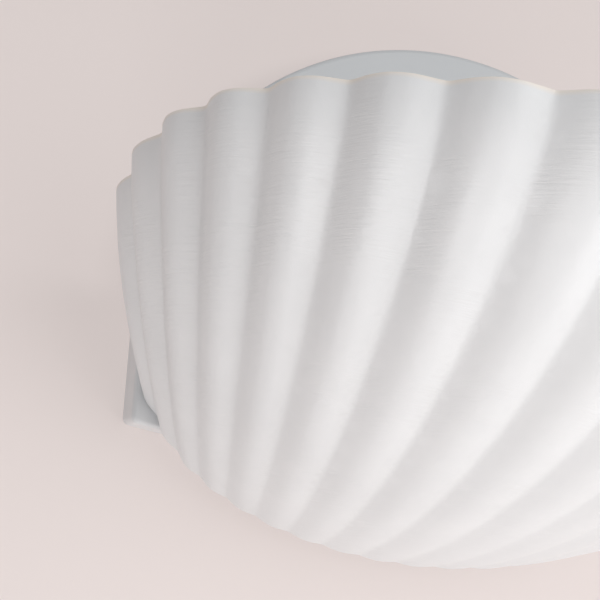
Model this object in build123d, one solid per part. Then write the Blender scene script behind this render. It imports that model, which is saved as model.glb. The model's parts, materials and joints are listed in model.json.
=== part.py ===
from build123d import *
import bisect
import math
import os

# Wall light: a fluted half-bowl shade, open at the top, hangs on an arched box plate.
# Millimetres. Origin on the wall, midway between the two wall screws; +Z up, the room is at -Y.

# ---- shade: plan of the rim, seen from above
RIM_HALF_W = 149.8  # widest point, sideways from the middle
RIM_REACH = 135.1  # from the widest point forward to the lip
BOWL_Y = -109.2  # how far in front of the wall the widest point lies
RIM_ROUND = 0.823  # exponent of the rim's plan curve, below 1 is fuller than an ellipse
RIM_TILT = 7.63  # degrees by which the lip rises to the front
RIM_EAR_RISE = 12.9  # how much higher the rim runs at its widest points
# ---- shade: how it closes towards the back
FAN_Y, FAN_Z = 222.2, -56.0  # point behind the wall where all the ribs would meet
FAN_TURN = 58.0  # degrees through which a rib's line turns on its way there
FAN_POWER, FAN_DRAW, FAN_SIDE = 1.327, 2.252, 0.836  # how quickly the ribs draw together
# ---- shade: ribs and wall
RIB_STEP = 10.46  # degrees of plan angle from valley to valley
RIB_MID_GAIN, RIB_MID_SPAN = 1.0, 1.2  # the middle ribs are this much wider
RIB_HEIGHT = 3.5  # crest above valley at the lip
RIB_HEIGHT_IN = 2.6  # the same on the inside
RIB_LIFT, RIB_LIFT_SPAN = 0.35, 0.12  # scallops of the lip, and how fast they fade
RIB_FADE, RIB_LAST = 0.30, 0.10  # how far back the ribs sink, and the share that stays
VALLEY_ROUND = 0.2
SHADE_WALL = 6.0
SHADE_BACK = 7.0  # flat back wall of the bowl
VALLEYS_A_SIDE = 12
STEPS_A_RIB = 8
ROWS = (0, 0.02, 0.05, 0.09, 0.13, 0.17, 0.21, 0.25, 0.29, 0.33, 0.37, 0.41, 0.45, 0.49)
SURFACE_TOL = 0.02
LIP_LEVEL_SPAN = 0.06  # how soon the wall stops being measured level, from the lip down
HOLDER_HOLE_PLAY = 2.5  # round the lampholder, in the back wall

# ---- arched back plate, a box open to the wall
PLATE_HALF_W = 124.6
PLATE_LOW = -65.5  # height of its underside, in the flat middle
FOOT_FLAT, FOOT_TILT = 70.0, 7.9  # where the underside starts to rise, and its degrees at the corner
SIDE_LEAN = 4.0  # degrees by which the sides spread upwards
PLATE_TOP = 121.7  # height of the arch's crown
ARCH_R = 131.7
PLATE_DEPTH = 25.0
PLATE_WALL = 4.0
PLATE_CORNER_R = 3.0
PLATE_SHOULDER_R = 25.0
PLATE_EDGE_R = 2.0

# ---- wall bracket
STRIP_T = 2.0
STRIP_HALF_W = 75.0
STRIP_H = 28.0
WALL_SCREW_PITCH = 100.0
WALL_SCREW_D = 4.5
WALL_SCREW_NECK_D = 3.4  # plain neck under the head; the thread starts at the wall
WALL_SCREW_HEAD_D, WALL_SCREW_HEAD_H = 9.0, 3.0
WALL_SCREW_LEN = 35.0
SLOT_LEN = 14.0
SLOT_PLAY = 1.0
LEG_X, LEG_W = 55.0, 16.0
TAB_REACH = 20.0
BUSH_HOLE_D, BUSH_FLANGE_D, BUSH_BORE_D, BUSH_FLANGE_T = 22.0, 26.0, 14.0, 2.0
CROSS_SPAN, CROSS_T, CROSS_DEEP = 4.4, 1.0, 1.4  # recess of a wall screw
WALL_SCREW_ROUND = 1.8
WALL_SCREW_TIP_D = 0.6

# ---- thumb screws under the plate
THUMB_D, THUMB_HEAD_D, THUMB_HEAD_H, THUMB_LEN = 4.0, 12.0, 5.0, 11.0
THUMB_FROM_WALL = 12.0
THUMB_GROOVES, THUMB_GROOVE_D, THUMB_BEVEL = 24, 0.8, 0.6
NOTCH_PLAY = 0.8

# ---- hanging screws and their nuts
HANG_X, HANG_Z = 80.0, -22.0
HANG_THREAD_D, HANG_SHOULDER_D, HANG_HEAD_D, HANG_HEAD_H = 5.0, 6.0, 10.0, 2.5
HANG_NUT_AF, HANG_NUT_H = 8.0, 4.0
HANG_TAIL = 1.5  # how far the thread stands past its nut
HANG_HEAD_ROUND, HANG_SLOT_W, HANG_SLOT_DEEP = 1.0, 1.2, 1.2
HANG_LIFT = 9.0  # from the seat up to where the head passes the keyhole
KEY_PLAY = 0.3
KEY_HOLE_PLAY = 0.8
PAD_D, PAD_T = 8.0, 1.0
PAD_SPOTS = ((95.0, -14.0), (42.0, -50.0))

# ---- lampholder line, all turned parts on one axis that points into the room
LAMP_Z = -32.0
NIPPLE_D, NIPPLE_BORE = 10.0, 7.6
NIPPLE_TAIL = 3.0  # how far it stands past its rear nut
NIPPLE_NUT_AF, NIPPLE_NUT_H = 14.0, 3.0
WASHER_D, WASHER_T = 18.0, 1.0
THREAD_PLAY = 0.05
RUN_GAP = 0.3  # gap between faces that slide past each other
HOLDER_D, HOLDER_WALL, HOLDER_BASE, HOLDER_BOSS = 29.0, 2.0, 4.0, 3.0
HOLDER_BOSS_D = 15.0
CAP_LEN = 26.0
CAP_SHOULDER = (4.0, 1.2)  # the cap's rear edge: width of its taper, and how deep it starts
INSERT_D, INSERT_FLANGE_T, INSERT_LEN = 20.0, 3.0, 13.0
SKIRT_NECK, SKIRT_LEN, SKIRT_WALL = 6.0, 25.0, 2.5
SKIRT_IN, SKIRT_COLLAR, SKIRT_STEP, SKIRT_FLOOR = 0.5, 5.0, 0.8, 2.0
SOCKET_D, SOCKET_T, SOCKET_LEN, SOCKET_FLOOR = 15.0, 0.4, 23.0, 2.0
TONGUE_D, TONGUE_H, TONGUE_TAPER = 5.0, 2.4, 0.6
SHELL_OFF_FLOOR, SHELL_FLANGE, SHELL_FLANGE_T = 0.2, 0.9, 0.5
WIRE_HOLE_DEEP = 4.0

# ---- bulb
BULB_CAP_D, BULB_CAP_LEN, BULB_CAP_WALL = 13.9, 19.7, 0.5
BULB_TIP_D, BULB_TIP_H, BULB_TIP_BEVEL = 4.5, 1.6, 0.6
GLASS_RING, GLASS_DEEP = 1.5, 4.0  # black insulator round the tip
CAP_BEVEL, CAP_BEVEL_LEN, CAP_BEVEL_ALL = 1.0, 1.0, 2.5
PLUG_LEN = 4.0  # of the collar, inside the cap
COLLAR_LEN, COLLAR_D0, COLLAR_D1 = 15.0, 16.0, 34.0
GLOBE_D, GLOBE_WALL = 45.0, 1.5
BOARD_D, BOARD_T = 24.0, 1.6

# ---- terminal block and leads
BLOCK_X, BLOCK_Z = 38.0, -18.0
BLOCK_W, BLOCK_H, BLOCK_D = 28.0, 16.0, 13.0
POLES, POLE_PITCH = 3, 9.3
BARREL_D, BARREL_BORE, BARREL_INSET = 5.0, 3.0, 1.0
CLAMP_D, CLAMP_DZ, CLAMP_SINK, CLAMP_PLAY = 3.0, 4.0, 0.8, 0.3
CLAMP_SLOT_W, CLAMP_SLOT_DEEP = 0.7, 0.9
BLOCK_BEVEL = 0.8
FIX_D, FIX_HEAD_D, FIX_HEAD_H, FIX_BITE, FIX_PLAY = 3.0, 5.5, 2.0, 2.6, 0.2
FIX_SLOT_W, FIX_SLOT_DEEP, FIX_SINK = 0.8, 0.9, 3.5
LEAD_D, LEAD_BEND = 2.2, 4.0
LEAD_APART = 1.6  # each lead beside the middle of the nipple
LEAD_LOOPS = (4.5, 9.0)  # how far behind the nipple each lead turns
POST_X = 6.0  # wire holes of the insert, beside its middle
LEAD_DROP, LEAD_SIDE, LEAD_STEP = 8.0, 8.0, 5.0  # how a lead leaves the block
LEAD_OVER = -2.0  # height of the first lead's turn over the axis of the nipple
LEAD_CLEAR = 1.5  # how far past the nipple a lead starts to spread
LEAD_SPREAD = 7.0
LEAD_END = 3.5  # how deep a lead ends in its hole
EARTH_X, EARTH_Z = 66.0, -38.0
EARTH_D, EARTH_HEAD_D, EARTH_HEAD_H, EARTH_BOSS_D, EARTH_BOSS_H = 4.0, 7.5, 2.4, 9.0, 3.0
EARTH_HEAD_ROUND, EARTH_SLOT_W, EARTH_SLOT_DEEP = 1.0, 1.0, 1.0
EARTH_BITE = 2.1  # how deep the earth screw reaches into the plate
RING_D, RING_T, RING_BARREL_D, RING_BARREL_LEN, RING_PLAY = 8.5, 0.8, 3.6, 6.5, 0.15
RING_NECK_W, RING_NECK_PAST, RING_SET = 3.2, 1.5, 0.6
TOOTH_D, TOOTH_T, TEETH, TOOTH_GAP, TOOTH_PLAY = 8.0, 0.6, 8, 1.0, 0.1
EARTH_LEAD_DROP, EARTH_LEAD_SIDE, EARTH_LEAD_END = 6.0, 3.5, 2.5

CUT = 1.0  # how far a cutting body runs past the face that it cuts
WELD = 0.1  # how far two bodies of one piece reach into each other


# ---------------------------------------------------------------- helpers
def box(x0, x1, y0, y1, z0, z1):
    """Box between two corners."""
    return Pos((x0 + x1) / 2, (y0 + y1) / 2, (z0 + z1) / 2) * Box(x1 - x0, y1 - y0, z1 - z0)


def rod_y(d, x, y0, y1, z):
    """Cylinder along Y."""
    return Pos(x, (y0 + y1) / 2, z) * Rot(90, 0, 0) * Cylinder(d / 2, abs(y1 - y0))


def rod_z(d, x, y, z0, z1):
    """Cylinder along Z."""
    return Pos(x, y, (z0 + z1) / 2) * Cylinder(d / 2, abs(z1 - z0))


def turned(points):
    """Solid of revolution on the lampholder's axis, from (radius, y) corners."""
    profile = make_face(Polyline(*points, close=True))
    return Pos(0, 0, LAMP_Z) * revolve(profile, axis=Axis.Y)


def hex_nut(af, x, y0, y1, z, bore):
    """Nut along Y."""
    prism = extrude(RegularPolygon(af / 2, 6, major_radius=False), amount=abs(y1 - y0))
    return Pos(x, max(y0, y1), z) * Rot(90, 0, 0) * prism - rod_y(bore, x, y0 + CUT, y1 - CUT, z)


def lead(points, radii):
    """Insulated wire: straight runs joined by tangent arcs."""
    path = FilletPolyline(*points, radius=radii)
    start = Plane(origin=points[0], z_dir=Vector(*points[1]) - Vector(*points[0]))
    return sweep(start * Circle(LEAD_D / 2), path=path)


def put(name, *solids):
    """Write one node."""
    shape = solids[0] if len(solids) == 1 else Compound(children=list(solids))
    shape.label = name
    export_step(shape, f"parts/{name}.step")


# ---------------------------------------------------------------- planes that the pieces share
PLATE_FACE = -PLATE_DEPTH
PLATE_INNER = PLATE_FACE + PLATE_WALL
SHADE_Y = PLATE_FACE - RUN_GAP - PAD_T  # back face of the shade
SHADE_FRONT_Y = SHADE_Y - SHADE_BACK
CAP_REAR = PLATE_FACE - WASHER_T - NIPPLE_NUT_H
FLANGE_REAR = CAP_REAR - CAP_LEN + SKIRT_NECK + INSERT_FLANGE_T
NECK_END = FLANGE_REAR - INSERT_FLANGE_T
SKIRT_END = CAP_REAR - CAP_LEN - SKIRT_LEN
NIPPLE_REAR = PLATE_INNER + WASHER_T + NIPPLE_NUT_H + NIPPLE_TAIL
NIPPLE_FRONT = CAP_REAR - HOLDER_BASE - HOLDER_BOSS
HOLDER_IN_D = HOLDER_D - 2 * HOLDER_WALL
FLOOR_Y = NECK_END - SOCKET_FLOOR
TIP_Y = FLOOR_Y - TONGUE_H - RUN_GAP
TAB_TOP = PLATE_LOW + PLATE_WALL + RUN_GAP + STRIP_T


# ---------------------------------------------------------------- shade
def mean_surface(angle, run):
    """Point of the bowl without ribs: plan angle from the middle, run from the rim (0) back."""
    across = math.copysign(abs(math.cos(angle)) ** RIM_ROUND, math.cos(angle)) * RIM_REACH
    tilt = math.radians(RIM_TILT)
    x = RIM_HALF_W * math.sin(angle)
    y = BOWL_Y - across * math.cos(tilt) - FAN_Y
    z = across * math.sin(tilt) + RIM_EAR_RISE * (x / RIM_HALF_W) ** 2 - FAN_Z
    shrink = (1 - run**FAN_POWER) ** FAN_DRAW
    turn = math.radians(FAN_TURN) * run
    return Vector(
        x * shrink**FAN_SIDE,
        FAN_Y + (y * math.cos(turn) - z * math.sin(turn)) * shrink,
        FAN_Z + (y * math.sin(turn) + z * math.cos(turn)) * shrink,
    )


def outward(angle, run):
    """Unit normal away from the hollow, level at the lip."""
    e = 1e-3
    along = mean_surface(angle + e, run) - mean_surface(angle - e, run)
    back = mean_surface(angle, run + e) - mean_surface(angle, max(run - e, 0))
    n = back.cross(along)
    return Vector(n.X, n.Y, n.Z * (1 - math.exp(-run / LIP_LEVEL_SPAN))).normalized()


def rib(share):
    """Height of a rib, 0 in the valley to 1 on the crest, with a rounded valley."""
    wave = math.sqrt(math.sin(math.pi * share) ** 2 + VALLEY_ROUND**2)
    return (wave - VALLEY_ROUND) / (math.sqrt(1 + VALLEY_ROUND**2) - VALLEY_ROUND)


def valley_angle(n):
    """Plan angle of the n-th valley from the middle."""
    place = n + 0.5
    gain = RIB_MID_GAIN * (1 - math.exp(-place / RIB_MID_SPAN))
    return math.radians(RIB_STEP * place + gain)


def between(xs, ys, x):
    """Straight-line value of ys at x."""
    i = min(max(bisect.bisect(xs, x), 1), len(xs) - 1)
    return ys[i - 1] + (ys[i] - ys[i - 1]) * (x - xs[i - 1]) / (xs[i] - xs[i - 1])


def columns():
    """(plan angle, share of the rib) evenly spaced along the rim in every rib."""
    half = [valley_angle(n) for n in range(VALLEYS_A_SIDE)]
    valleys = [-a for a in reversed(half)] + half
    count = 4000
    angles = [valleys[0] + (valleys[-1] - valleys[0]) * i / count for i in range(count + 1)]
    length = [0.0]
    for a, b in zip(angles, angles[1:]):
        length.append(length[-1] + (mean_surface(b, 0) - mean_surface(a, 0)).length)
    found = []
    for a, b in zip(valleys, valleys[1:]):
        la, lb = between(angles, length, a), between(angles, length, b)
        for j in range(STEPS_A_RIB):
            found.append((between(length, angles, la + (lb - la) * j / STEPS_A_RIB), j / STEPS_A_RIB))
    return found + [(valleys[-1], 0.0)]


def ribbed(angle, share, run, inset, height):
    """Point of the ribbed bowl, inset from the outer face."""
    draw = (1 - run**FAN_POWER) ** (FAN_DRAW * FAN_SIDE)
    sunk = RIB_LAST + (1 - RIB_LAST) * math.exp(-((run / RIB_FADE) ** 2))
    out = height * (rib(share) - 0.5) * draw * sunk - inset
    lift = RIB_LIFT * rib(share) * math.exp(-run / RIB_LIFT_SPAN)
    return mean_surface(angle, run) + outward(angle, run) * out + Vector(0, 0, lift)


def edge_at(face, point):
    """The edge of a face that passes through a point."""
    return min(face.edges(), key=lambda e: e.distance_to(Vertex(*point)))


def bowl(cols):
    """Ribbed wall of the shade, run past its back plane and cut there."""
    mid, low = len(cols) // 2, len(ROWS) // 2
    skins, marks = [], []
    for inset, height in ((0.0, RIB_HEIGHT), (SHADE_WALL, RIB_HEIGHT_IN)):
        grid = [[ribbed(a, t, r, inset, height) for r in ROWS] for a, t in cols]
        skins.append(Face.make_surface_from_array_of_points(grid, tol=SURFACE_TOL, min_deg=3, max_deg=3))
        marks.append((grid[mid][0], grid[mid][-1], grid[0][low], grid[-1][low]))
    strips = [
        Face.make_surface_from_curves(edge_at(skins[0], a), edge_at(skins[1], b)) for a, b in zip(*marks)
    ]
    whole = Solid(Shell(skins + strips))
    if whole.volume < 0:
        whole = Solid(Shell(skins + strips).reversed())
    return split(whole, bisect_by=Plane(origin=(0, SHADE_Y, 0), z_dir=(0, -1, 0)), keep=Keep.TOP)


def back_wall(cols):
    """Flat wall that closes the bowl at the back; its edge runs in the middle of the ribbed wall."""
    level = SHADE_Y - SHADE_BACK / 2
    inset, height = SHADE_WALL / 2, (RIB_HEIGHT + RIB_HEIGHT_IN) / 2
    points = []
    for a, t in cols:
        lo, hi = 0.0, ROWS[-1]
        if ribbed(a, t, lo, inset, height).Y > level:
            continue
        for _ in range(40):
            run = (lo + hi) / 2
            lo, hi = (run, hi) if ribbed(a, t, run, inset, height).Y < level else (lo, run)
        p = ribbed(a, t, run, inset, height)
        points.append((p.X, p.Z))
    curve = Spline(*points)
    face = make_face([curve, Line(curve @ 1, curve @ 0)])
    return Pos(0, SHADE_Y, 0) * extrude(Plane.XZ * face, amount=SHADE_BACK)


def shade():
    cols = columns()
    wall = back_wall(cols)
    deep = (SHADE_FRONT_Y - CUT, SHADE_Y + CUT)
    half = HOLDER_D / 2 + HOLDER_HOLE_PLAY
    wall -= box(-half, half, *deep, LAMP_Z - HANG_LIFT, LAMP_Z)
    for z in (LAMP_Z, LAMP_Z - HANG_LIFT):
        wall -= rod_y(2 * half, 0, *deep, z)
    slot = HANG_SHOULDER_D + 2 * KEY_PLAY
    for x in (-HANG_X, HANG_X):
        wall -= box(x - slot / 2, x + slot / 2, *deep, HANG_Z - HANG_LIFT, HANG_Z)
        wall -= rod_y(slot, x, *deep, HANG_Z)
        wall -= rod_y(HANG_HEAD_D + 2 * KEY_HOLE_PLAY, x, *deep, HANG_Z - HANG_LIFT)
    return bowl(cols) + wall


# ---------------------------------------------------------------- back plate
def plate_outline():
    """Right half from the crown round to the middle of the foot, and its mirror image."""
    centre = Vector(0, PLATE_TOP - ARCH_R)
    rise = (PLATE_HALF_W - FOOT_FLAT) * math.tan(math.radians(FOOT_TILT / 2))
    corner = Vector(PLATE_HALF_W, PLATE_LOW + rise)
    up = Vector(math.sin(math.radians(SIDE_LEAN)), math.cos(math.radians(SIDE_LEAN)))
    along = (corner - centre).dot(up)
    reach = math.sqrt(along**2 - (corner - centre).length ** 2 + ARCH_R**2) - along
    shoulder = corner + up * reach
    middle = Vector(0, PLATE_TOP)
    side = (shoulder - centre).get_angle(Vector(0, 1))
    half_turn = math.radians(side / 2)
    over = centre + Vector(math.sin(half_turn), math.cos(half_turn)) * ARCH_R
    half = [
        ThreePointArc(middle, over, shoulder),
        Line(shoulder, corner),
        TangentArc((FOOT_FLAT, PLATE_LOW), corner, tangent=(1, 0)),
        Line((FOOT_FLAT, PLATE_LOW), (0, PLATE_LOW)),
        Line((0, PLATE_LOW), middle),
    ]
    right = make_face(half)
    face = (right + mirror(right, about=Plane.YZ)).clean()
    high = [v for v in face.vertices() if abs(v.Y - shoulder.Y) < CUT and abs(v.X) > FOOT_FLAT]
    face = fillet(high, PLATE_SHOULDER_R)
    low = [v for v in face.vertices() if abs(v.Y - corner.Y) < CUT and abs(v.X) > FOOT_FLAT + CUT]
    return fillet(low, PLATE_CORNER_R)


def back_plate():
    face = plate_outline()
    body = extrude(Plane.XZ * face, amount=PLATE_DEPTH)
    body = fillet(body.edges().group_by(Axis.Y)[0], PLATE_EDGE_R)
    hollow = extrude(Plane.XZ * offset(face, -PLATE_WALL), amount=PLATE_DEPTH - PLATE_WALL)
    body -= hollow
    deep = (PLATE_FACE - CUT, PLATE_INNER + CUT)
    body -= rod_y(NIPPLE_D + 2 * KEY_PLAY, 0, *deep, LAMP_Z)
    for x in (-HANG_X, HANG_X):
        body -= rod_y(HANG_THREAD_D + 2 * THREAD_PLAY, x, *deep, HANG_Z)
    low = (PLATE_LOW - CUT, PLATE_LOW + PLATE_WALL + CUT)
    notch = THUMB_D + NOTCH_PLAY
    for x in (-LEG_X, LEG_X):
        body -= box(x - notch / 2, x + notch / 2, -THUMB_FROM_WALL, CUT, *low)
        body -= rod_z(notch, x, -THUMB_FROM_WALL, *low)
    body += rod_y(EARTH_BOSS_D, EARTH_X, PLATE_INNER - WELD, TOP_BOSS, EARTH_Z)
    earth_hole = PLATE_INNER - EARTH_BITE - RUN_GAP
    body -= rod_y(EARTH_D + 2 * THREAD_PLAY, EARTH_X, TOP_BOSS + CUT, earth_hole, EARTH_Z)
    fix_hole = PLATE_INNER - FIX_BITE - RUN_GAP
    return body - rod_y(FIX_D + 2 * THREAD_PLAY, FIX_X, PLATE_INNER + CUT, fix_hole, BLOCK_Z)


# ---------------------------------------------------------------- bracket
def wall_bracket():
    body = box(-STRIP_HALF_W, STRIP_HALF_W, -STRIP_T, 0, -STRIP_H / 2, STRIP_H / 2)
    foot = TAB_TOP - STRIP_T
    for x in (-LEG_X, LEG_X):
        body += box(x - LEG_W / 2, x + LEG_W / 2, -STRIP_T, 0, foot, 0)
        body += box(x - LEG_W / 2, x + LEG_W / 2, -TAB_REACH, 0, foot, TAB_TOP)
        body -= rod_z(THUMB_D + 2 * THREAD_PLAY, x, -THUMB_FROM_WALL, foot - CUT, TAB_TOP + CUT)
    wide = WALL_SCREW_D + SLOT_PLAY
    for x in (-WALL_SCREW_PITCH / 2, WALL_SCREW_PITCH / 2):
        reach = (SLOT_LEN - wide) / 2
        body -= box(x - reach, x + reach, -STRIP_T - CUT, CUT, -wide / 2, wide / 2)
        for end in (x - reach, x + reach):
            body -= rod_y(wide, end, -STRIP_T - CUT, CUT, 0)
    return body - rod_y(BUSH_HOLE_D, 0, -STRIP_T - CUT, CUT, 0)


def cable_bush():
    front = -STRIP_T - BUSH_FLANGE_T
    body = rod_y(BUSH_HOLE_D, 0, front, 0, 0) + rod_y(BUSH_FLANGE_D, 0, front, -STRIP_T, 0)
    return body - rod_y(BUSH_BORE_D, 0, front - CUT, CUT, 0)


def wall_screw(x):
    top = -STRIP_T - WALL_SCREW_HEAD_H
    head = rod_y(WALL_SCREW_HEAD_D, x, top, -STRIP_T, 0)
    head = fillet(head.edges().group_by(Axis.Y)[0], WALL_SCREW_ROUND)
    for across, up in ((CROSS_SPAN / 2, CROSS_T / 2), (CROSS_T / 2, CROSS_SPAN / 2)):
        head -= box(x - across, x + across, top - CUT, top + CROSS_DEEP, -up, up)
    tip = WALL_SCREW_LEN - STRIP_T - WALL_SCREW_D
    point = Cone(WALL_SCREW_D / 2, WALL_SCREW_TIP_D / 2, WALL_SCREW_D)
    point = Pos(x, tip + WALL_SCREW_D / 2, 0) * Rot(-90, 0, 0) * point
    neck = rod_y(WALL_SCREW_NECK_D, x, -STRIP_T - WELD, WELD, 0)
    return head + neck + rod_y(WALL_SCREW_D, x, 0, tip, 0) + point


def thumb_screw(x):
    top = PLATE_LOW - RUN_GAP
    foot = top - THUMB_HEAD_H
    y = -THUMB_FROM_WALL
    head = rod_z(THUMB_HEAD_D, x, y, foot, top)
    head = chamfer(head.edges().filter_by(GeomType.CIRCLE), THUMB_BEVEL)
    for i in range(THUMB_GROOVES):
        turn = math.radians(360 * i / THUMB_GROOVES)
        gx, gy = x + THUMB_HEAD_D / 2 * math.cos(turn), y + THUMB_HEAD_D / 2 * math.sin(turn)
        head -= rod_z(THUMB_GROOVE_D, gx, gy, foot - CUT, top + CUT)
    return head + rod_z(THUMB_D, x, y, top - WELD, top + THUMB_LEN)


# ---------------------------------------------------------------- hanging screws
def hang_screw(x):
    under = SHADE_FRONT_Y - RUN_GAP
    top = under - HANG_HEAD_H
    head = rod_y(HANG_HEAD_D, x, top, under, HANG_Z)
    head = fillet(head.edges().group_by(Axis.Y)[0], HANG_HEAD_ROUND)
    side, up = HANG_HEAD_D / 2 + CUT, HANG_SLOT_W / 2
    head -= box(x - side, x + side, top - CUT, top + HANG_SLOT_DEEP, HANG_Z - up, HANG_Z + up)
    shoulder = rod_y(HANG_SHOULDER_D, x, PLATE_FACE, under - WELD, HANG_Z)
    end = PLATE_INNER + HANG_NUT_H + HANG_TAIL
    return head + shoulder + rod_y(HANG_THREAD_D, x, PLATE_FACE - WELD, end, HANG_Z)


def hang_nut(x):
    bore = HANG_THREAD_D + 2 * THREAD_PLAY
    return hex_nut(HANG_NUT_AF, x, PLATE_INNER + HANG_NUT_H, PLATE_INNER, HANG_Z, bore)


def pads():
    made = []
    for px, pz in PAD_SPOTS:
        for x in (-px, px):
            made.append(rod_y(PAD_D, x, SHADE_Y, SHADE_Y + PAD_T, pz))
    return made


# ---------------------------------------------------------------- lampholder
def nipple():
    return turned(
        [
            (NIPPLE_BORE / 2, NIPPLE_REAR),
            (NIPPLE_D / 2, NIPPLE_REAR),
            (NIPPLE_D / 2, NIPPLE_FRONT),
            (NIPPLE_BORE / 2, NIPPLE_FRONT),
        ]
    )


def nipple_washer(y0):
    bore = NIPPLE_D / 2 + THREAD_PLAY
    return turned([(bore, y0), (WASHER_D / 2, y0), (WASHER_D / 2, y0 - WASHER_T), (bore, y0 - WASHER_T)])


def holder_cap():
    rear, end = CAP_REAR, CAP_REAR - CAP_LEN
    base, boss = rear - HOLDER_BASE, rear - HOLDER_BASE - HOLDER_BOSS
    bore, round_in = NIPPLE_D / 2 + THREAD_PLAY, HOLDER_IN_D / 2
    wide, deep = CAP_SHOULDER
    return turned(
        [
            (bore, rear),
            (HOLDER_D / 2 - wide, rear),
            (HOLDER_D / 2 - deep, rear - deep),
            (HOLDER_D / 2, rear - wide),
            (HOLDER_D / 2, end),
            (round_in, end),
            (round_in, base),
            (HOLDER_BOSS_D / 2, base),
            (HOLDER_BOSS_D / 2, boss),
            (bore, boss),
        ]
    )


def holder_insert():
    flange = HOLDER_IN_D / 2 - THREAD_PLAY
    pocket = SOCKET_D / 2 + THREAD_PLAY
    front = FLANGE_REAR - INSERT_LEN
    body = turned(
        [
            (0, FLANGE_REAR),
            (flange, FLANGE_REAR),
            (flange, NECK_END),
            (INSERT_D / 2, NECK_END),
            (INSERT_D / 2, front),
            (pocket, front),
            (pocket, FLOOR_Y),
            (0, FLOOR_Y),
        ]
    )
    for x in (-POST_X, POST_X):
        body -= rod_y(LEAD_D + 2 * THREAD_PLAY, x, FLANGE_REAR + CUT, FLANGE_REAR - WIRE_HOLE_DEEP, LAMP_Z)
    return body


def holder_skirt():
    neck = HOLDER_IN_D / 2 - THREAD_PLAY
    hole = INSERT_D / 2 + THREAD_PLAY
    step = CAP_REAR - CAP_LEN
    wide = HOLDER_D / 2 - SKIRT_IN
    slim = wide - SKIRT_STEP
    inside = wide - SKIRT_WALL
    return turned(
        [
            (hole, NECK_END),
            (neck, NECK_END),
            (neck, step),
            (wide, step),
            (wide, step - SKIRT_COLLAR),
            (slim, step - SKIRT_COLLAR - SKIRT_STEP),
            (slim, SKIRT_END),
            (inside, SKIRT_END),
            (inside, step - SKIRT_FLOOR),
            (hole, step - SKIRT_FLOOR),
        ]
    )


def socket_shell():
    start, end = FLOOR_Y - SHELL_OFF_FLOOR, FLOOR_Y - SOCKET_LEN
    r = SOCKET_D / 2
    return turned(
        [
            (r - SOCKET_T, start),
            (r, start),
            (r, end),
            (r + SHELL_FLANGE, end),
            (r + SHELL_FLANGE, end - SHELL_FLANGE_T),
            (r - SOCKET_T, end - SHELL_FLANGE_T),
        ]
    )


def centre_contact():
    top = FLOOR_Y - TONGUE_H
    r = TONGUE_D / 2
    waist = (r, FLOOR_Y - TONGUE_H / 2)
    return turned([(0, FLOOR_Y), (r, FLOOR_Y), waist, (r * TONGUE_TAPER, top), (0, top)])


# ---------------------------------------------------------------- bulb
CAP_TOP = TIP_Y - BULB_TIP_H
CAP_FOOT = CAP_TOP - BULB_CAP_LEN
GLOBE_SEAT = CAP_FOOT - COLLAR_LEN
GLOBE_Y = GLOBE_SEAT - math.sqrt((GLOBE_D / 2) ** 2 - (COLLAR_D1 / 2) ** 2)


def bulb_cap():
    r, t = BULB_CAP_D / 2, BULB_CAP_WALL
    ring = BULB_TIP_D / 2 + GLASS_RING
    slope, straight = CAP_TOP - CAP_BEVEL_LEN, CAP_TOP - CAP_BEVEL_ALL
    return turned(
        [
            (ring, CAP_TOP),
            (r - CAP_BEVEL, slope),
            (r, straight),
            (r, CAP_FOOT),
            (r - t, CAP_FOOT),
            (r - t, straight - t),
            (r - CAP_BEVEL - t, slope - t),
            (ring, CAP_TOP - t),
        ]
    )


def bulb_tip():
    foot = CAP_TOP - GLASS_DEEP
    r = BULB_TIP_D / 2
    ring = r + GLASS_RING - THREAD_PLAY
    dome = [(0, TIP_Y), (r - BULB_TIP_BEVEL, TIP_Y), (r, TIP_Y - BULB_TIP_BEVEL), (r, CAP_TOP)]
    return turned(dome + [(ring, CAP_TOP), (ring, foot), (0, foot)])


def bulb_collar():
    plug = BULB_CAP_D / 2 - BULB_CAP_WALL - THREAD_PLAY
    return turned(
        [
            (0, CAP_FOOT + PLUG_LEN),
            (plug, CAP_FOOT + PLUG_LEN),
            (plug, CAP_FOOT),
            (COLLAR_D0 / 2, CAP_FOOT),
            (COLLAR_D1 / 2, GLOBE_SEAT),
            (0, GLOBE_SEAT),
        ]
    )


def bulb_globe():
    ball = Pos(0, GLOBE_Y, LAMP_Z) * (Sphere(GLOBE_D / 2) - Sphere(GLOBE_D / 2 - GLOBE_WALL))
    behind = box(-GLOBE_D, GLOBE_D, GLOBE_SEAT, GLOBE_SEAT + GLOBE_D, LAMP_Z - GLOBE_D, LAMP_Z + GLOBE_D)
    return ball - behind


def led_board():
    front, r = GLOBE_SEAT - BOARD_T, BOARD_D / 2
    return turned([(0, GLOBE_SEAT), (r, GLOBE_SEAT), (r, front), (0, front)])


# ---------------------------------------------------------------- terminal block and leads
POLE_XS = [BLOCK_X + POLE_PITCH * (i - (POLES - 1) / 2) for i in range(POLES)]
FIX_X = BLOCK_X - POLE_PITCH / 2
BLOCK_REAR = PLATE_INNER
BLOCK_TOP = PLATE_INNER + BLOCK_D
BARREL_Y = PLATE_INNER + BLOCK_D / 2
BARREL_LOW = BLOCK_Z - BLOCK_H / 2 + BARREL_INSET
CLAMP_ZS = (BLOCK_Z - CLAMP_DZ, BLOCK_Z + CLAMP_DZ)
TOP_BOSS = PLATE_INNER + EARTH_BOSS_H
RING_BARREL_Y = TOP_BOSS + RING_BARREL_D / 2 - RING_SET


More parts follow.
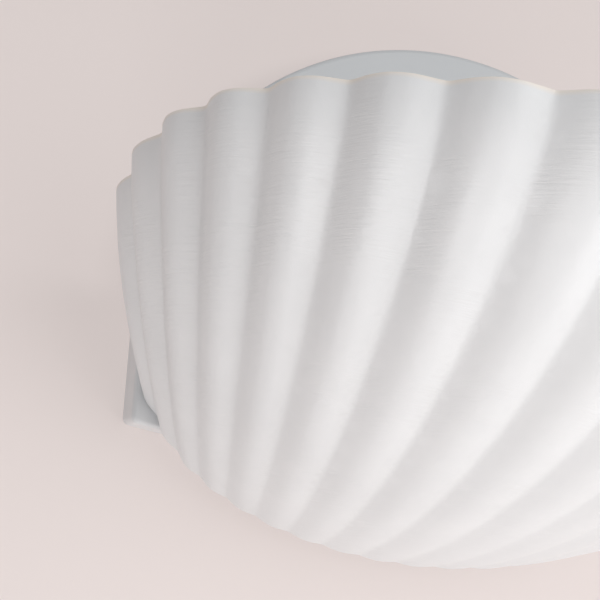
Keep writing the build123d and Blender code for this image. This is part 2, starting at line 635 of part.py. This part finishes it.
def terminal_block():
    wide, high = BLOCK_W / 2, BLOCK_H / 2
    body = box(BLOCK_X - wide, BLOCK_X + wide, BLOCK_REAR, BLOCK_TOP, BLOCK_Z - high, BLOCK_Z + high)
    body = chamfer(body.edges().group_by(Axis.Y)[-1], BLOCK_BEVEL)
    for x in POLE_XS:
        body -= rod_z(BARREL_D + 2 * THREAD_PLAY, x, BARREL_Y, BLOCK_Z - BLOCK_H, BLOCK_Z + BLOCK_H)
        for z in CLAMP_ZS:
            body -= rod_y(CLAMP_D + 2 * CLAMP_PLAY, x, BARREL_Y, BLOCK_TOP + CUT, z)
    body -= rod_y(FIX_D + 2 * FIX_PLAY, FIX_X, BLOCK_REAR - CUT, BLOCK_TOP, BLOCK_Z)
    return body - rod_y(FIX_HEAD_D + 2 * FIX_PLAY, FIX_X, BLOCK_TOP - FIX_SINK, BLOCK_TOP + CUT, BLOCK_Z)


def barrel(x):
    half = BLOCK_H / 2 - BARREL_INSET
    body = rod_z(BARREL_D, x, BARREL_Y, BLOCK_Z - half, BLOCK_Z + half)
    body -= rod_z(BARREL_BORE, x, BARREL_Y, BLOCK_Z - BLOCK_H, BLOCK_Z + BLOCK_H)
    for z in CLAMP_ZS:
        body -= rod_y(CLAMP_D + 2 * THREAD_PLAY, x, BARREL_Y, BARREL_Y + BARREL_D, z)
    return body


def clamp_screw(x, z):
    tip, top = BARREL_Y + LEAD_D / 2, BLOCK_TOP - CLAMP_SINK
    up = CLAMP_SLOT_W / 2
    slot = box(x - CLAMP_D, x + CLAMP_D, top - CLAMP_SLOT_DEEP, top + CUT, z - up, z + up)
    return rod_y(CLAMP_D, x, tip, top, z) - slot


def block_screw():
    under = BLOCK_TOP - FIX_SINK
    top = under + FIX_HEAD_H
    side, up = FIX_HEAD_D, FIX_SLOT_W / 2
    slot = box(FIX_X - side, FIX_X + side, top - FIX_SLOT_DEEP, top + CUT, BLOCK_Z - up, BLOCK_Z + up)
    head = rod_y(FIX_HEAD_D, FIX_X, under, top, BLOCK_Z) - slot
    return head + rod_y(FIX_D, FIX_X, PLATE_INNER - FIX_BITE, under + WELD, BLOCK_Z)


def lamp_lead(pole, side):
    """From a pole of the block, behind the nipple, through it and to a post of the insert."""
    x, y = POLE_XS[pole], BARREL_Y
    bend_y = NIPPLE_REAR + LEAD_LOOPS[pole]
    inlet = side * LEAD_APART
    turn_z = LAMP_Z + LEAD_OVER - LEAD_STEP * pole
    points = [
        (x, y, BLOCK_Z),
        (x, y, turn_z + LEAD_DROP),
        (x - LEAD_SIDE, bend_y, turn_z),
        (inlet, bend_y, LAMP_Z),
        (inlet, NIPPLE_FRONT - LEAD_CLEAR, LAMP_Z),
        (side * POST_X, NIPPLE_FRONT - LEAD_SPREAD, LAMP_Z),
        (side * POST_X, FLANGE_REAR - LEAD_END, LAMP_Z),
    ]
    return lead(points, [LEAD_BEND, LEAD_BEND, LEAD_BEND, LEAD_BEND * 0.6, LEAD_BEND * 0.6])


def ring_terminal():
    top = TOP_BOSS + RING_T
    eye = rod_y(RING_D, EARTH_X, TOP_BOSS, top, EARTH_Z)
    neck = EARTH_X - EARTH_BOSS_D / 2 - RING_NECK_PAST
    up = RING_NECK_W / 2
    eye += box(neck, EARTH_X, TOP_BOSS, top, EARTH_Z - up, EARTH_Z + up)
    tube = Pos(neck - RING_BARREL_LEN / 2 + RING_SET, RING_BARREL_Y, EARTH_Z) * Rot(0, 90, 0)
    eye += tube * Cylinder(RING_BARREL_D / 2, RING_BARREL_LEN)
    eye -= tube * Cylinder(LEAD_D / 2 + THREAD_PLAY, RING_BARREL_LEN + 4 * CUT)
    return eye - rod_y(EARTH_D + 2 * RING_PLAY, EARTH_X, TOP_BOSS - CUT, top + CUT, EARTH_Z)


def tooth_washer():
    low, top = TOP_BOSS + RING_T, TOP_BOSS + RING_T + TOOTH_T
    ring = rod_y(TOOTH_D, EARTH_X, low, top, EARTH_Z)
    for i in range(TEETH):
        turn = math.radians(360 * i / TEETH)
        gx, gz = EARTH_X + TOOTH_D / 2 * math.cos(turn), EARTH_Z + TOOTH_D / 2 * math.sin(turn)
        ring -= rod_y(TOOTH_GAP, gx, low - CUT, top + CUT, gz)
    return ring - rod_y(EARTH_D + 2 * TOOTH_PLAY, EARTH_X, low - CUT, top + CUT, EARTH_Z)


def earth_screw():
    low = TOP_BOSS + RING_T + TOOTH_T
    top = low + EARTH_HEAD_H
    head = rod_y(EARTH_HEAD_D, EARTH_X, low, top, EARTH_Z)
    head = fillet(head.edges().group_by(Axis.Y)[-1], EARTH_HEAD_ROUND)
    side, up = EARTH_HEAD_D, EARTH_SLOT_W / 2
    low_y = top - EARTH_SLOT_DEEP
    head -= box(EARTH_X - side, EARTH_X + side, low_y, top + CUT, EARTH_Z - up, EARTH_Z + up)
    return head + rod_y(EARTH_D, EARTH_X, PLATE_INNER - EARTH_BITE, low + WELD, EARTH_Z)


def earth_lead():
    x = POLE_XS[-1]
    end = EARTH_X - EARTH_BOSS_D / 2 - EARTH_LEAD_END
    points = [
        (x, BARREL_Y, BLOCK_Z),
        (x, BARREL_Y, EARTH_Z + EARTH_LEAD_DROP),
        (x + EARTH_LEAD_SIDE, RING_BARREL_Y, EARTH_Z),
        (end, RING_BARREL_Y, EARTH_Z),
    ]
    return lead(points, [LEAD_BEND * 0.6, LEAD_BEND * 0.5])


# ---------------------------------------------------------------- write the nodes
def main():
    os.makedirs("parts", exist_ok=True)
    sides = (-1, 1)
    put("shell_shade", shade())
    put("shade_pads", *pads())
    put("back_plate", back_plate())
    put("wall_bracket", wall_bracket())
    put("cable_bush", cable_bush())
    put("wall_screws", *[wall_screw(s * WALL_SCREW_PITCH / 2) for s in sides])
    put("thumb_screw_left", thumb_screw(-LEG_X))
    put("thumb_screw_right", thumb_screw(LEG_X))
    put("hanging_screws", *[hang_screw(s * HANG_X) for s in sides])
    put("hanging_nuts", *[hang_nut(s * HANG_X) for s in sides])
    put("threaded_nipple", nipple())
    put("nipple_washers", nipple_washer(PLATE_INNER + WASHER_T), nipple_washer(PLATE_FACE))
    bore = NIPPLE_D + 2 * THREAD_PLAY
    rear = PLATE_INNER + WASHER_T
    front = PLATE_FACE - WASHER_T
    put(
        "nipple_nuts",
        hex_nut(NIPPLE_NUT_AF, 0, rear + NIPPLE_NUT_H, rear, LAMP_Z, bore),
        hex_nut(NIPPLE_NUT_AF, 0, front, front - NIPPLE_NUT_H, LAMP_Z, bore),
    )
    put("holder_cap", holder_cap())
    put("holder_insert", holder_insert())
    put("holder_skirt", holder_skirt())
    put("socket_shell", socket_shell())
    put("centre_contact", centre_contact())
    put("bulb_cap", bulb_cap())
    put("bulb_tip", bulb_tip())
    put("bulb_collar", bulb_collar())
    put("bulb_globe", bulb_globe())
    put("led_board", led_board())
    put("terminal_block", terminal_block())
    put("terminal_barrels", *[barrel(x) for x in POLE_XS])
    put("clamp_screws", *[clamp_screw(x, z) for x in POLE_XS for z in CLAMP_ZS])
    put("block_screw", block_screw())
    put("lead_live", lamp_lead(0, 1))
    put("lead_neutral", lamp_lead(1, -1))
    put("earth_ring", ring_terminal())
    put("earth_washer", tooth_washer())
    put("earth_screw", earth_screw())
    put("lead_earth", earth_lead())


main()
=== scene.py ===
import json
import math

import bpy
from mathutils import Matrix, Vector

# Wall light with a fluted bowl shade on an arched plate. Metres; origin on the wall, room at -Y.

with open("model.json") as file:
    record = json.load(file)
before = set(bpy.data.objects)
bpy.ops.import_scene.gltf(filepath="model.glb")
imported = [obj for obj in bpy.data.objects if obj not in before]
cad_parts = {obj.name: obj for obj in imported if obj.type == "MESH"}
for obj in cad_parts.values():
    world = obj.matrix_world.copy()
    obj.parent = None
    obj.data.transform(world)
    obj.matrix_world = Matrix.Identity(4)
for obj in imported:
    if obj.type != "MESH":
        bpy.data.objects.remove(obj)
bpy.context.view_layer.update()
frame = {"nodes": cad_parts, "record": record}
nodes = frame["nodes"]

# ---- camera: where the photograph was taken from
CAMERA_PLACE = Vector((-0.1828, -0.4352, -0.0802))
CAMERA_AZIMUTH, CAMERA_ELEVATION, CAMERA_ROLL = 16.25, 10.35, 7.43  # degrees
CAMERA_LENS, CAMERA_SENSOR = 62.8, 36.0  # millimetres
CAMERA_CLIP = 0.01

# ---- stage
WALL_GAP = 0.0005
WALL_REACH = 3.0
FLOOR_DROP = 0.75
WALL_COLOUR = (0.36, 0.325, 0.315)
WALL_GLOW = 1.24  # plaster lit evenly by the rest of the room
FLOOR_COLOUR = (0.78, 0.72, 0.70)

# ---- light: name, place, across, watts
LIT = (0.0, -0.12, -0.04)  # every light points here
SKY_COLOUR, SKY_STRENGTH = (0.98, 0.98, 1.0), 0.265
LIGHTS = (
    ("room_front", (0.40, -1.40, 0.10), 1.0, 8.5),
    ("right_low", (0.70, -0.40, -0.50), 0.6, 2.6),
    ("left_below", (-0.22, -0.38, -0.55), 0.3, 1.0),
)

# ---- the shell's lip, as in the CAD
LIP_Y, LIP_SLOPE = -0.1092, math.tan(math.radians(7.63))
LIP_EAR, LIP_HALF_W = 0.0129, 0.1498

# ---- finish of the shell and the plate
SHELL_DULL, SHELL_PALE = (0.760, 0.785, 0.797), (0.808, 0.832, 0.843)
LIP_CREAM, LIP_COVER = (0.85, 0.805, 0.735), 0.85
LIP_BAND = 0.0010  # how far down the cream edge reaches
STROKE_STRETCH = (70.0, 70.0, 1500.0)  # rubbing marks: long where level, fine in height
STROKE_TILT = math.radians(8)
PLATE_DULL, PLATE_PALE = (0.735, 0.760, 0.775), (0.765, 0.788, 0.802)

NOISE_LOW, NOISE_HIGH = 0.3, 0.7  # nearly all of a noise lies between these


# ---------------------------------------------------------------- node trees
class Finish:
    """A material with one Principled shader, and short ways to feed it."""

    def __init__(self, name, **sockets):
        self.material = bpy.data.materials.new(name)
        self.material.use_nodes = True
        self.tree = self.material.node_tree
        self.shader = self.tree.nodes["Principled BSDF"]
        self.place = self.tree.nodes.new("ShaderNodeTexCoord").outputs["Object"]
        for socket, value in sockets.items():
            self.shader.inputs[socket.replace("_", " ")].default_value = value

    def node(self, kind, **settings):
        made = self.tree.nodes.new(kind)
        for key, value in settings.items():
            setattr(made, key, value)
        return made

    def link(self, a, b):
        self.tree.links.new(a, b)

    def feed(self, socket, value):
        """Gives a socket a number, a colour or another socket's output."""
        if isinstance(value, (int, float)):
            socket.default_value = value
        elif isinstance(value, tuple):
            socket.default_value = (*value, 1)
        else:
            self.link(value, socket)

    def stretched(self, scale, turn=(0, 0, 0)):
        """Object coordinates, stretched and turned."""
        mapping = self.node("ShaderNodeMapping")
        mapping.inputs["Scale"].default_value = scale
        mapping.inputs["Rotation"].default_value = turn
        self.link(self.place, mapping.inputs["Vector"])
        return mapping.outputs["Vector"]

    def noise(self, scale, detail=4.0, rough=0.55, place=None):
        made = self.node("ShaderNodeTexNoise")
        made.inputs["Scale"].default_value = scale
        made.inputs["Detail"].default_value = detail
        made.inputs["Roughness"].default_value = rough
        self.link(place or self.place, made.inputs["Vector"])
        return made.outputs["Fac"]

    def ramp(self, value, low, high, a, b):
        """Value from low to high becomes a to b."""
        made = self.node("ShaderNodeMapRange")
        for socket, number in zip(("From Min", "From Max", "To Min", "To Max"), (low, high, a, b)):
            made.inputs[socket].default_value = number
        self.link(value, made.inputs["Value"])
        return made.outputs["Result"]

    def vary(self, noise, a, b):
        """A noise, spread over a to b."""
        return self.ramp(noise, NOISE_LOW, NOISE_HIGH, a, b)

    def math(self, operation, a, b):
        """Sum, product and the like of outputs and numbers."""
        made = self.node("ShaderNodeMath", operation=operation)
        self.feed(made.inputs[0], a)
        self.feed(made.inputs[1], b)
        return made.outputs[0]

    def colour(self, value, a, b):
        """The surface's colour: a where value is 0, b where it is 1."""
        made = self.node("ShaderNodeMix", data_type="RGBA")
        self.feed(made.inputs["A"], a)
        self.feed(made.inputs["B"], b)
        self.link(value, made.inputs["Factor"])
        self.link(made.outputs["Result"], self.shader.inputs["Base Color"])
        return made.outputs["Result"]

    def roughness(self, value):
        self.link(value, self.shader.inputs["Roughness"])

    def bumps(self, *layers):
        """Layers of (height, strength, distance in metres), one over the other."""
        last = None
        for height, strength, distance in layers:
            bump = self.node("ShaderNodeBump")
            bump.inputs["Strength"].default_value = strength
            bump.inputs["Distance"].default_value = distance
            self.link(height, bump.inputs["Height"])
            if last:
                self.link(last, bump.inputs["Normal"])
            last = bump.outputs["Normal"]
        self.link(last, self.shader.inputs["Normal"])


def darker(colour, share):
    return tuple(c * share for c in colour)


def moulded(name, colour, rough, grain=900.0, depth=0.00004):
    """Plastic, rubber, glaze: clouded a little, with a fine grain."""
    f = Finish(name)
    f.colour(f.vary(f.noise(45.0), 0, 1), darker(colour, 0.93), colour)
    f.roughness(f.vary(f.noise(60.0), rough - 0.05, rough + 0.06))
    f.bumps((f.noise(grain, 2.0), 0.5, depth))
    return f.material


def plated(name, colour, rough):
    """Plated or drawn metal: fine level streaks, duller in patches."""
    f = Finish(name, Metallic=1.0)
    dull = f.noise(120.0, 3.0)
    streaks = f.noise(1.0, 3.0, 0.6, f.stretched((60.0, 60.0, 900.0)))
    f.colour(f.ramp(dull, 0.35, 0.65, 0, 1), darker(colour, 0.82), colour)
    f.roughness(f.vary(dull, rough - 0.07, rough + 0.1))
    f.bumps((streaks, 0.25, 0.00003))
    return f.material


# ---------------------------------------------------------------- finishes of the two pieces that show
def above_lip(f):
    """Metres above the line of the shell's lip; negative below it."""
    split = f.node("ShaderNodeSeparateXYZ")
    f.link(f.place, split.inputs[0])
    x, y, z = split.outputs
    front = f.math("MULTIPLY", f.math("SUBTRACT", LIP_Y, y), LIP_SLOPE)
    side = f.math("POWER", f.math("MULTIPLY", f.math("ABSOLUTE", x, 0), 1 / LIP_HALF_W), 2)
    return f.math("SUBTRACT", z, f.math("ADD", front, f.math("MULTIPLY", side, LIP_EAR)))


def bisque():
    """Matt white unglazed ware, rubbed down by hand with fine level strokes, cream along its lip."""
    f = Finish("shell_bisque", Specular_IOR_Level=0.5)
    cloud = f.noise(16.0, 5.0, 0.6)
    body = f.colour(f.vary(cloud, 0, 1), SHELL_DULL, SHELL_PALE)
    f.colour(f.ramp(above_lip(f), -LIP_BAND, 0.0, 0, LIP_COVER), body, LIP_CREAM)
    f.roughness(f.vary(cloud, 0.36, 0.46))
    strokes = f.noise(1.0, 3.0, 0.65, f.stretched(STROKE_STRETCH, (0, STROKE_TILT, 0)))
    rubbed = f.ramp(f.noise(22.0, 3.0), 0.46, 0.58, 0.0, 1.0)
    f.bumps(
        (f.noise(38.0, 3.0, 0.45), 0.12, 0.0005),  # uneven from the hand
        (f.math("MULTIPLY", strokes, rubbed), 0.8, 0.00022),
        (f.noise(2600.0, 2.0, 0.5), 0.2, 0.00008),  # grain
    )
    return f.material


def plate_paint():
    """Satin white paint on steel, with the faintest orange peel."""
    f = Finish("plate_paint", Specular_IOR_Level=0.5)
    f.colour(f.ramp(f.noise(9.0), 0.35, 0.65, 0, 1), PLATE_DULL, PLATE_PALE)
    f.roughness(f.vary(f.noise(30.0), 0.34, 0.44))
    f.bumps((f.noise(420.0, 3.0), 0.12, 0.0001))
    return f.material


# ---------------------------------------------------------------- finishes inside
def earth_lead():
    """Green insulation with a yellow stripe."""
    f = Finish("lead_green_yellow", Roughness=0.4)
    stripe = f.node("ShaderNodeTexWave", wave_type="BANDS", bands_direction="DIAGONAL")
    stripe.inputs["Scale"].default_value = 90.0
    f.link(f.place, stripe.inputs["Vector"])
    f.colour(f.ramp(stripe.outputs["Fac"], 0.45, 0.55, 0, 1), (0.02, 0.26, 0.04), (0.82, 0.62, 0.04))
    f.bumps((f.noise(700.0), 0.2, 0.00003))
    return f.material


def milk_globe():
    """Milky shell of the lamp, unlit."""
    f = Finish("globe_milk", IOR=1.49, Subsurface_Weight=0.35, Subsurface_Scale=0.004)
    f.shader.inputs["Subsurface Radius"].default_value = (1.0, 0.9, 0.8)
    f.colour(f.vary(f.noise(20.0), 0, 1), (0.88, 0.87, 0.84), (0.92, 0.91, 0.89))
    f.roughness(f.vary(f.noise(40.0), 0.22, 0.32))
    f.bumps((f.noise(300.0), 0.1, 0.00004))
    return f.material


def finishes():
    """One material for each slot of the record."""
    return {
        "shade_ceramic": bisque(),
        "plate_paint": plate_paint(),
        "zinc": plated("zinc", (0.60, 0.62, 0.64), 0.34),
        "nickel": plated("nickel", (0.68, 0.66, 0.62), 0.26),
        "brass": plated("brass", (0.72, 0.53, 0.24), 0.3),
        "cap_metal": plated("cap_metal", (0.72, 0.71, 0.68), 0.3),
        "board_metal": moulded("board_metal", (0.86, 0.86, 0.85), 0.45),
        "tinned": plated("tinned", (0.70, 0.71, 0.73), 0.38),
        "bush_rubber": moulded("bush_rubber", (0.035, 0.035, 0.037), 0.62, grain=500.0),
        "pad_rubber": moulded("pad_rubber", (0.62, 0.62, 0.60), 0.4),
        "holder_plastic": moulded("holder_plastic", (0.83, 0.82, 0.78), 0.42),
        "insert_porcelain": moulded("insert_porcelain", (0.86, 0.85, 0.81), 0.16, grain=120.0),
        "tip_insulator": moulded("tip_insulator", (0.02, 0.02, 0.025), 0.25),
        "collar_plastic": moulded("collar_plastic", (0.84, 0.84, 0.82), 0.34),
        "globe_milk": milk_globe(),
        "block_plastic": moulded("block_plastic", (0.82, 0.82, 0.79), 0.5),
        "lead_brown": moulded("lead_brown", (0.13, 0.05, 0.02), 0.4),
        "lead_blue": moulded("lead_blue", (0.02, 0.09, 0.42), 0.4),
        "lead_green_yellow": earth_lead(),
    }


def dress(made):
    """Gives every node the material of its slot."""
    for row in frame["record"]["subparts"]:
        piece = nodes[row["node"]]
        piece.data.materials.clear()
        piece.data.materials.append(made[row["material_slot"]])


# ---------------------------------------------------------------- stage, lights and camera
def panel(name, place, turn, material):
    """A square sheet of the stage."""
    bpy.ops.mesh.primitive_plane_add(size=2 * WALL_REACH, location=place, rotation=turn)
    made = bpy.context.object
    made.name = name
    made.data.materials.append(material)


def wall_finish():
    """Pale plaster wall that shows from the room only, so that the back can be looked at."""
    f = Finish("wall_plaster", Specular_IOR_Level=0.2, Emission_Strength=WALL_GLOW)
    f.feed(f.shader.inputs["Emission Color"], WALL_COLOUR)
    f.colour(f.vary(f.noise(3.0), 0, 1), darker(WALL_COLOUR, 0.97), WALL_COLOUR)
    f.roughness(f.vary(f.noise(30.0), 0.8, 0.95))
    f.bumps((f.noise(160.0, 4.0), 0.1, 0.0004))
    behind = f.node("ShaderNodeNewGeometry").outputs["Backfacing"]
    clear = f.node("ShaderNodeBsdfTransparent").outputs[0]
    mix = f.node("ShaderNodeMixShader")
    f.link(behind, mix.inputs["Fac"])
    f.link(f.shader.outputs[0], mix.inputs[1])
    f.link(clear, mix.inputs[2])
    f.link(mix.outputs[0], f.tree.nodes["Material Output"].inputs["Surface"])
    return f.material


def floor_finish():
    f = Finish("floor_pale", Specular_IOR_Level=0.2)
    f.colour(f.vary(f.noise(2.0), 0, 1), darker(FLOOR_COLOUR, 0.97), FLOOR_COLOUR)
    f.roughness(f.vary(f.noise(20.0), 0.8, 0.95))
    return f.material


def stage():
    upright = (math.radians(90), 0, 0)
    level = (0, 0, 0)
    panel("wall", (0, WALL_GAP, WALL_REACH - FLOOR_DROP), upright, wall_finish())
    panel("floor", (0, 0, -FLOOR_DROP), level, floor_finish())


def softbox(name, place, size, watts):
    data = bpy.data.lights.new(name, "AREA")
    data.shape, data.size, data.energy = "DISK", size, watts
    box = bpy.data.objects.new(name, data)
    bpy.context.scene.collection.objects.link(box)
    box.location = place
    box.rotation_euler = (Vector(LIT) - Vector(place)).to_track_quat("-Z", "Y").to_euler()


def lights():
    world = bpy.data.worlds.new("studio")
    bpy.context.scene.world = world
    world.use_nodes = True
    sky = world.node_tree.nodes["Background"]
    sky.inputs["Color"].default_value = (*SKY_COLOUR, 1)
    sky.inputs["Strength"].default_value = SKY_STRENGTH
    for name, place, size, watts in LIGHTS:
        softbox(name, place, size, watts)


def camera():
    a, e = math.radians(CAMERA_AZIMUTH), math.radians(CAMERA_ELEVATION)
    ahead = Vector((math.sin(a) * math.cos(e), math.cos(a) * math.cos(e), math.sin(e)))
    roll = Matrix.Rotation(math.radians(CAMERA_ROLL), 3, "Z")
    turn = ahead.to_track_quat("-Z", "Y").to_matrix() @ roll
    data = bpy.data.cameras.new("camera")
    data.lens, data.sensor_width = CAMERA_LENS, CAMERA_SENSOR
    data.clip_start = CAMERA_CLIP
    made = bpy.data.objects.new("camera", data)
    bpy.context.scene.collection.objects.link(made)
    made.matrix_world = Matrix.Translation(CAMERA_PLACE) @ turn.to_4x4()
    bpy.context.scene.camera = made
    bpy.context.scene.view_settings.view_transform = "Standard"


camera()
stage()
lights()
dress(finishes())
